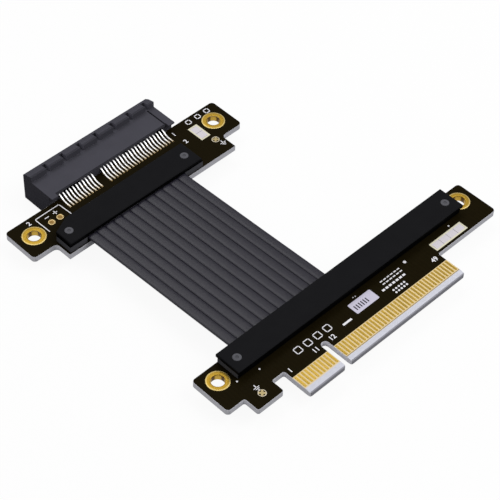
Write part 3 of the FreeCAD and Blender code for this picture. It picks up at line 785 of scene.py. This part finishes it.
def plate_holes():
    """Plated screw holes with a sloped ring edge and a rounded mouth."""
    half_height = (BOARD_TOP - BOARD_BOTTOM) / 2 / MM
    for node, share in RING_SHARE.items():
        shape = bmesh.new()
        centres = []
        for low, high in islands(node):
            ring = (high.x - low.x) / 2 / MM * share
            centres.append((low + high) / 2)
            lathe(shape, ring_profile(ring, half_height), centres[-1])
        MATERIALS[node] = ring_gold(node, centres, (ring - RING_RIM) * MM)
        shade_smooth(new_piece(node + "_turned", shape, node, [node]), TURNED_ANGLE)


# Round pads: height of their shoulder, as a share of the pad's
PAD_SHOULDER = 0.6

# Power pads, in millimetres: foot and rim of the gold ring, its lip into the hole, the hole, and the plug's
# sink and crown; then the lip's height and the plug's dish, as shares of the pad's height and hole's radius
RING_PAD_FOOT = 0.02
RING_PAD_RIM = 0.15
PLUG_LIP = 0.12
PLUG_RADIUS = 0.56
PLUG_SINK = 0.035
PLUG_CROWN = 0.01
PLUG_LIP_HEIGHT = 0.5
PLUG_DISH = 0.6


def plate_power_pads():
    """Power pads, each with a ring of gold about a sunken plug of darker solder."""
    rings, plugs = bmesh.new(), bmesh.new()
    node = "socket_power_pads"
    for foot, radius, height in round_solids(node):
        lip, sunk = height * PLUG_LIP_HEIGHT, height - PLUG_SINK
        lathe(rings, [(PLUG_RADIUS, 0), (radius, 0), (radius - RING_PAD_FOOT, height * PAD_SHOULDER),
                      (radius - RING_PAD_RIM, height), (PLUG_RADIUS + PLUG_LIP, height),
                      (PLUG_RADIUS, lip)], foot)
        lathe(plugs, [(0, 0), (PLUG_RADIUS, 0), (PLUG_RADIUS, lip), (PLUG_RADIUS * PLUG_DISH, sunk),
                      (0, sunk + PLUG_CROWN)], foot)
    shade_smooth(new_piece("round_pad_rings", rings, "gold_plating", [node]))
    shade_smooth(new_piece("round_pad_plugs", plugs, "plug"))


# Ground pads: outer and inner radius of the pale ring and half the width of the spokes, as shares of the
# modelled radius; the spokes' height as a share of the pad's; and the ring's edge break in millimetres
GROUND_OUTER = 1.12
GROUND_INNER = 0.90
GROUND_SPOKE = 0.30
GROUND_SPOKE_HEIGHT = 0.9
GROUND_BREAK = 0.04


def cross_outline(reach, half):
    """Outline of a cross whose arms lie between the axes."""
    arm = [(reach, -half), (reach, half), (half, half)]
    points = []
    for turn in range(4):
        angle = math.pi / 4 + turn * math.pi / 2
        cos, sin = math.cos(angle), math.sin(angle)
        points += [(x * cos - y * sin, x * sin + y * cos) for x, y in arm]
    return points


def plate_ground_pads():
    """Ground pads: a pale ring about a gold cross, with the board dark between its arms."""
    rings, crosses = bmesh.new(), bmesh.new()
    nodes = ("edge_ground_pad", "socket_ground_pad")
    for node in nodes:
        for foot, radius, height in round_solids(node):
            outer, inner, shoulder = radius * GROUND_OUTER, radius * GROUND_INNER, height * PAD_SHOULDER
            lathe(rings, [(inner, 0), (outer, 0), (outer, shoulder), (outer - GROUND_BREAK, height),
                          (inner + GROUND_BREAK, height), (inner, shoulder)], foot)
            outline = cross_outline(inner, radius * GROUND_SPOKE)
            loft(crosses, [[foot + Vector((x, y, z)) * MM for x, y in outline]
                           for z in (0, height * GROUND_SPOKE_HEIGHT)])
    shade_smooth(new_piece("ground_pad_rings", rings, "pad_rim", nodes))
    new_piece("ground_pad_crosses", crosses, "pad_cross")


# Fingers: rounding at the nose and its steps, edge break and where it starts as a share of the plating's
# height, and how far the drawn plating stops short of the modelled outline
FINGER_ROUND = 0.2 * MM
FINGER_STEPS = 4
FINGER_EDGE = 0.02 * MM
FINGER_SHOULDER = 0.5
FINGER_TRIM_SIDE = 0.035 * MM
FINGER_TRIM_NOSE = 0.72 * MM
FINGER_TRIM_BOARD = 0.08 * MM


def finger_outline(low, high):
    """Outline of a finger: square at the board, with rounded corners at the nose."""
    middle_y = low.y + FINGER_ROUND
    left = quarter(low.x + FINGER_ROUND, middle_y, FINGER_ROUND, math.pi, FINGER_STEPS)
    right = quarter(high.x - FINGER_ROUND, middle_y, FINGER_ROUND, 1.5 * math.pi, FINGER_STEPS)
    return [(high.x, high.y), (low.x, high.y)] + left + right


def plate_fingers():
    """Contact fingers with rounded ends and a small edge break on the outer face."""
    inset = Vector((FINGER_EDGE, FINGER_EDGE, 0))
    for node, outer_is_high in (("edge_fingers_upper", True), ("edge_fingers_lower", False)):
        shape = bmesh.new()
        for low, high in islands(node):
            low = low + Vector((FINGER_TRIM_SIDE, FINGER_TRIM_NOSE, 0))
            high = high - Vector((FINGER_TRIM_SIDE, FINGER_TRIM_BOARD, 0))
            base, face = (low.z, high.z) if outer_is_high else (high.z, low.z)
            outline = finger_outline(low, high)
            levels = [(outline, base), (outline, base + (face - base) * FINGER_SHOULDER),
                      (finger_outline(low + inset, high - inset), face)]
            loft(shape, [[(x, y, z) for x, y in points] for points, z in levels])
        new_piece(node + "_rounded", shape, "finger_gold", [node])


# Solder on each contact pad, station by station: place along the pad as a share, height in millimetres, and
# width of its top as a share of its foot
SOLDER_STATIONS = ((0.02, 0.02, 0.7), (0.06, 0.08, 0.8), (0.15, 0.12, 0.8), (0.50, 0.12, 0.8),
                   (0.60, 0.16, 0.75), (0.70, 0.20, 0.7), (0.80, 0.08, 0.6), (0.86, 0.02, 0.5))

# Margin of bare pad beside the solder, place of the flank's hollow from top to foot and its height, as
# shares, and the angle in degrees from which edges are shaded sharp
SOLDER_MARGIN = 0.03 * MM
SOLDER_FLANK = 0.9
SOLDER_SAG = 0.3
SOLDER_ANGLE = 60


def solder_section(half, height, top_share):
    """Section of a solder joint across the pad, with hollow flanks."""
    top = half * top_share
    flank_x, flank_z = top + (half - top) * SOLDER_FLANK, height * SOLDER_SAG
    return [(-half, 0), (half, 0), (flank_x, flank_z), (top, height), (-top, height), (-flank_x, flank_z)]


def solder_feet():
    """Solder fillets between the contacts' feet and their pads."""
    for node, up in (("socket_pads_upper", 1), ("socket_pads_lower", -1)):
        shape = bmesh.new()
        for low, high in islands(node):
            low = low - Vector((0, TOE_REACH, 0))
            face = high.z if up > 0 else low.z
            middle = (low.x + high.x) / 2
            half = (high.x - low.x) / 2 - SOLDER_MARGIN
            sections = []
            for share, height, top in SOLDER_STATIONS:
                y = low.y + (high.y - low.y) * share
                section = solder_section(half, height * MM, top)
                sections.append([(middle + x, y, face + up * z) for x, z in section])
            loft(shape, sections)
        shade_smooth(new_piece(node + "_solder", shape, "solder"), SOLDER_ANGLE)


# Ribbon strips: lean over their length, how square their oval section is, stations along and steps round
# them, and the height, radians along the length and seed of their slight waviness
RIBBON_LEAN = 1.6 * MM
STRIP_SQUARENESS = 3.4
STRIP_STATIONS = 48
STRIP_STEPS = 48
STRIP_WAVE = 0.03 * MM
STRIP_WAVE_RADIANS = 9
STRIP_SEED = 7


def strip_section(width, thickness):
    """Oval section of a strip about its middle, flatter than an ellipse."""
    points = []
    for step in range(STRIP_STEPS):
        angle = 2 * math.pi * (step + 0.5) / STRIP_STEPS
        x, z = math.cos(angle), math.sin(angle)
        points.append((math.copysign(abs(x) ** (2 / STRIP_SQUARENESS), x) * width / 2,
                       math.copysign(abs(z) ** (2 / STRIP_SQUARENESS), z) * thickness / 2))
    return points


def strip_shape(node, draw):
    """A strip swept along its lean, with a little life in its surface."""
    low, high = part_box(node)
    width = high.x - low.x - RIBBON_LEAN
    section = strip_section(width, high.z - low.z)
    phase = draw.uniform(0, 2 * math.pi)
    sections = []
    for station in range(STRIP_STATIONS + 1):
        part = station / STRIP_STATIONS
        middle_x = low.x + width / 2 + RIBBON_LEAN * (1 - part)
        y = low.y + (high.y - low.y) * part
        lift = STRIP_WAVE * math.sin(math.pi * part) * math.sin(phase + STRIP_WAVE_RADIANS * part)
        middle_z = (low.z + high.z) / 2 + lift
        sections.append([(middle_x + x, y, middle_z + z) for x, z in section])
    shape = bmesh.new()
    loft(shape, sections)
    return shape


def dress_ribbon():
    """All strips of the ribbon."""
    draw = random.Random(STRIP_SEED)
    for node in STRIP_NODES:
        shape = strip_shape(node, draw)
        shade_smooth(new_piece(node + "_jacket", shape, "ribbon_jacket", [node]))


# Screen printing, in millimetres: thickness of the ink, width of its lines, steps of its curves, its signs
INK = 0.02
LINE = 0.23
DOT_TURNS = 24
PANEL_STEPS = 6
SIGN_REACH = 0.5
NUMBER_SIZE = 1.8
NUMBER_WEIGHT = 0.035
EARTH_STEM = (0.75, 0.05)
EARTH_BARS = ((0.75, 0.0), (0.45, 0.38), (0.15, 0.76))
EARTH_LINE = 0.18

# Labels: width of the border, and of the gap between two fields
LABEL_BORDER = 0.4
LABEL_GAP = 0.08

# Marks of the socket board, from its origin; rows of boxes are given as (start, count, size, pitch)
POWER_BRACKET = ((-25.27, 8.9), (-25.4, 14.05), (-18.05, 14.15), (-17.8, 9.8))
MINUS_SIGN = (-22.9, 12.75)
PLUS_SIGN = (-20.38, 12.75)
SOCKET_LABEL = ((22.1, 6.98), (25.0, 12.18))
SOCKET_BOXES = ((23.4, 13.35), 3, 1.3, 3.1)
SOCKET_NUMBERS = (("1", 18.4, 13.2), ("2", -27.3, 14.0), ("2", 18.9, 9.4))
SOCKET_EARTH = (25.4, 2.9)

# Marks of the edge board, from its origin: dots as (x, y, radius), a grid of dots as (start, columns, rows,
# pitch, radius), rows of dashes as (x, y, height, count), bars as (start, count, pitch, width, height)
EDGE_LABEL = ((26.12, 8.98), (37.06, 11.66))
EDGE_PANEL = ((-1.7, 8.45), (5.65, 11.8))
PANEL_ROUND = 0.3
PANEL_BARS = ((-0.9, 9.3), 6, 0.75, 0.3, 1.4)
EDGE_BAR = ((-6.5, 8.2), (-3.7, 8.75))
EDGE_BOXES = ((-19.9, 9.5), 4, 1.7, 3.1)
EDGE_NUMBERS = (("1", -24.4, 7.5), ("11", -16.1, 7.65), ("12", -10.85, 7.65), ("49", 23.6, 7.6))
EDGE_DOTS = ((-35.09, 13.3, 0.24), (-29.07, 12.41, 0.24), (34.14, 12.5, 0.24), (17.89, 11.9, 0.42),
             (1.1, 12.6, 0.15), (1.75, 12.5, 0.15))
EDGE_DOT_GRID = ((9.6, 6.9), 5, 2, 0.9, 0.28)
EDGE_DASH_ROWS = ((7.5, 9.35, 0.55, 7), (9.0, 10.6, 0.3, 6), (9.0, 11.5, 0.3, 6))
DASH_WIDTH = 0.8
DASH_PITCH = 1.15
EDGE_EARTH = (-33.2, 9.2)


class Print:
    """Flat marks on a board's upper face, gathered in one shape."""

    def __init__(self, origin):
        self.shape = bmesh.new()
        self.origin = origin

    def patch(self, corners):
        """A closed flat patch through corners."""
        loft(self.shape, [[self.origin + Vector((x, y, z)) * MM for x, y in corners] for z in (0, INK)])

    def line(self, start, end, width=LINE):
        """A straight line with square ends."""
        a, b = Vector(start), Vector(end)
        along = (b - a).normalized() * width / 2
        across = Vector((-along.y, along.x))
        self.patch([a - along - across, b + along - across, b + along + across, a - along + across])

    def chain(self, points):
        """Lines through a row of points."""
        for start, end in zip(points, points[1:]):
            self.line(start, end)

    def box(self, low, high):
        """The outline of a box."""
        self.chain([low, (high[0], low[1]), high, (low[0], high[1]), low])

    def boxes(self, first, count, size, pitch):
        """A row of empty square boxes."""
        for i in range(count):
            left = first[0] + i * pitch
            self.box((left, first[1]), (left + size, first[1] + size))

    def panel(self, low, high):
        """A filled box."""
        self.patch([high, (low[0], high[1]), low, (high[0], low[1])])

    def round_panel(self, low, high, radius):
        """A filled box with round corners."""
        left, front, right, back = low[0] + radius, low[1] + radius, high[0] - radius, high[1] - radius
        points = []
        for turn, (x, y) in enumerate(((right, back), (left, back), (left, front), (right, front))):
            points += quarter(x, y, radius, turn * math.pi / 2, PANEL_STEPS)
        self.patch(points)

    def disc(self, x, y, radius):
        """A filled round dot."""
        angles = [2 * math.pi * turn / DOT_TURNS for turn in range(DOT_TURNS)]
        self.patch([(x + radius * math.cos(angle), y + radius * math.sin(angle)) for angle in angles])

    def minus(self, x, y):
        """A level stroke."""
        self.line((x - SIGN_REACH, y), (x + SIGN_REACH, y))

    def plus(self, x, y):
        """A level stroke crossed by another."""
        self.minus(x, y)
        self.line((x, y - SIGN_REACH), (x, y + SIGN_REACH))

    def earth(self, x, y):
        """The common sign of three bars under a stem."""
        top, bottom = EARTH_STEM
        self.line((x, y + top), (x, y + bottom))
        for half, drop in EARTH_BARS:
            self.line((x - half, y - drop), (x + half, y - drop), EARTH_LINE)

    def number(self, text, x, y):
        """A plain number, centred on its place."""
        curve = bpy.data.curves.new("number", "FONT")
        curve.body = text
        curve.size = NUMBER_SIZE
        curve.align_x = "CENTER"
        curve.align_y = "CENTER"
        curve.offset = NUMBER_WEIGHT
        curve.extrude = INK / 2
        carrier = add_object("number", curve)
        mesh = final_mesh(carrier)
        place = Vector((x, y, INK / 2))
        mesh.transform(Matrix.Translation(self.origin) @ Matrix.Scale(MM, 4) @ Matrix.Translation(place))
        self.shape.from_mesh(mesh)
        bpy.data.objects.remove(carrier)


def label(name, origin, low, high, count, along):
    """A label in a cream border, of equal fields along X (0) or Y (1) with hair gaps between them."""
    border, inner = Print(origin), Print(origin)
    half = LABEL_BORDER / 2
    left, front, right, back = low[0] + half, low[1] + half, high[0] - half, high[1] - half
    for y in (front, back):
        border.line((left, y), (right, y), LABEL_BORDER)
    for x in (left, right):
        border.line((x, front + LABEL_BORDER), (x, back - LABEL_BORDER), LABEL_BORDER)
    new_piece(name + "_border", border.shape, "label_border")
    low = [value + LABEL_BORDER for value in low]
    high = [value - LABEL_BORDER for value in high]
    size = (high[along] - low[along]) / count
    for i in range(count):
        first, last = list(low), list(high)
        first[along] = low[along] + i * size + LABEL_GAP / 2
        last[along] = first[along] + size - LABEL_GAP
        inner.panel(first, last)
    new_piece(name, inner.shape, "label_ink")


def print_socket_board():
    """Marks on the socket board: a bracket about the power pads, signs, boxes, plain numbers and a label."""
    marks = Print(SOCKET_ORIGIN)
    marks.chain(POWER_BRACKET)
    marks.minus(*MINUS_SIGN)
    marks.plus(*PLUS_SIGN)
    marks.boxes(*SOCKET_BOXES)
    marks.earth(*SOCKET_EARTH)
    for text, x, y in SOCKET_NUMBERS:
        marks.number(text, x, y)
    new_piece("socket_board_print", marks.shape, "white_ink")
    label("socket_board_label", SOCKET_ORIGIN, *SOCKET_LABEL, count=2, along=1)


def print_panel():
    """A pale panel with plain dark bars on the edge board."""
    panel, bars = Print(EDGE_ORIGIN), Print(EDGE_ORIGIN + Vector((0, 0, INK * MM)))
    panel.round_panel(*EDGE_PANEL, PANEL_ROUND)
    (first_x, first_y), count, pitch, width, height = PANEL_BARS
    for left in (first_x + i * pitch for i in range(count)):
        bars.panel((left, first_y), (left + width, first_y + height))
    new_piece("edge_board_panel", panel.shape, "panel_ink")
    new_piece("edge_board_panel_bars", bars.shape, "dark_ink")


def print_edge_board():
    """Marks on the edge board: pin numbers, dots, boxes, rows of dashes, a bar, a panel and a label."""
    marks = Print(EDGE_ORIGIN)
    for text, x, y in EDGE_NUMBERS:
        marks.number(text, x, y)
    for x, y, radius in EDGE_DOTS:
        marks.disc(x, y, radius)
    (first_x, first_y), columns, rows, pitch, radius = EDGE_DOT_GRID
    for column in range(columns):
        for row in range(rows):
            marks.disc(first_x + column * pitch, first_y + row * pitch, radius)
    marks.boxes(*EDGE_BOXES)
    for x, y, height, count in EDGE_DASH_ROWS:
        for left in (x + i * DASH_PITCH for i in range(count)):
            marks.panel((left, y - height / 2), (left + DASH_WIDTH, y + height / 2))
    marks.panel(*EDGE_BAR)
    marks.earth(*EDGE_EARTH)
    new_piece("edge_board_print", marks.shape, "white_ink")
    print_panel()
    label("edge_board_label", EDGE_ORIGIN, *EDGE_LABEL, count=4, along=0)


def place_camera():
    """The photograph's camera."""
    azimuth = math.radians(CAMERA_AZIMUTH)
    elevation = math.radians(CAMERA_ELEVATION)
    forward = Vector((math.sin(azimuth) * math.cos(elevation), math.cos(azimuth) * math.cos(elevation),
                      -math.sin(elevation)))
    data = bpy.data.cameras.new("camera")
    data.lens = CAMERA_LENS
    data.sensor_width = CAMERA_SENSOR
    data.clip_start = CAMERA_NEAR
    camera = add_object("camera", data)
    camera.location = CAMERA_TARGET - forward * CAMERA_DISTANCE
    level = forward.to_track_quat("-Z", "Y").to_matrix().to_4x4()
    camera.rotation_euler = (level @ Matrix.Rotation(math.radians(CAMERA_ROLL), 4, "Z")).to_euler()
    bpy.context.scene.camera = camera


def place_lamps():
    """Soft lamps about the part."""
    for name, direction, distance, width, watts in LAMPS:
        data = bpy.data.lights.new(name, "AREA")
        data.energy = watts
        data.size = width
        lamp = add_object(name, data)
        lamp.location = Vector(direction).normalized() * distance
        lamp.rotation_euler = (-lamp.location).to_track_quat("-Z", "Y").to_euler()


def ray_kinds(tree):
    """Whether a ray comes from the camera, and whether it is reflected or let through."""
    path = add_node(tree, "LightPath").outputs
    reflected = calculate(tree, "MAXIMUM", path["Is Glossy Ray"], path["Is Transmission Ray"])
    return path["Is Camera Ray"], reflected


def light_surround():
    """An even pale surround, which is white to the camera."""
    world = bpy.data.worlds.new("surround")
    world.use_nodes = True
    tree = world.node_tree
    seen, reflected = ray_kinds(tree)
    level = spread(tree, reflected, WORLD_LEVEL, WORLD_IN_METAL)
    background = tree.nodes["Background"]
    background.inputs["Color"].default_value = (1, 1, 1, 1)
    tree.links.new(calculate(tree, "MAXIMUM", level, seen), background.inputs["Strength"])
    bpy.context.scene.world = world


def floor_paint():
    """White paint that glows where it is seen, and keeps a faint shadow."""
    material = bpy.data.materials.new("floor")
    material.use_nodes = True
    tree = material.node_tree
    tree.nodes.remove(tree.nodes["Principled BSDF"])
    seen = calculate(tree, "MAXIMUM", *ray_kinds(tree))
    colour = spread(tree, seen, FLOOR_BOUNCE, FLOOR_PALE)
    diffuse = add_node(tree, "BsdfDiffuse", {"Color": colour}).outputs["BSDF"]
    glow = add_node(tree, "Emission").outputs["Emission"]
    share = calculate(tree, "MULTIPLY", seen, FLOOR_GLOW)
    mix = add_node(tree, "MixShader", {"Fac": share, 1: diffuse, 2: glow}).outputs["Shader"]
    tree.links.new(mix, tree.nodes["Material Output"].inputs["Surface"])
    return material


def lay_floor():
    """A plain white floor under the part."""
    corners = [(-1, -1), (1, -1), (1, 1), (-1, 1)]
    mesh = bpy.data.meshes.new("floor")
    mesh.from_pydata([(x * FLOOR_REACH, y * FLOOR_REACH, 0) for x, y in corners], [], [(0, 1, 2, 3)])
    mesh.materials.append(floor_paint())
    floor = add_object("floor", mesh)


paint_nodes()
dress_mouldings()
turn_rivets()
plate_holes()
plate_power_pads()
plate_ground_pads()
plate_fingers()
solder_feet()
dress_ribbon()
print_socket_board()
print_edge_board()
place_camera()
place_lamps()
light_surround()
lay_floor()
bpy.context.scene.view_settings.view_transform = "Standard"
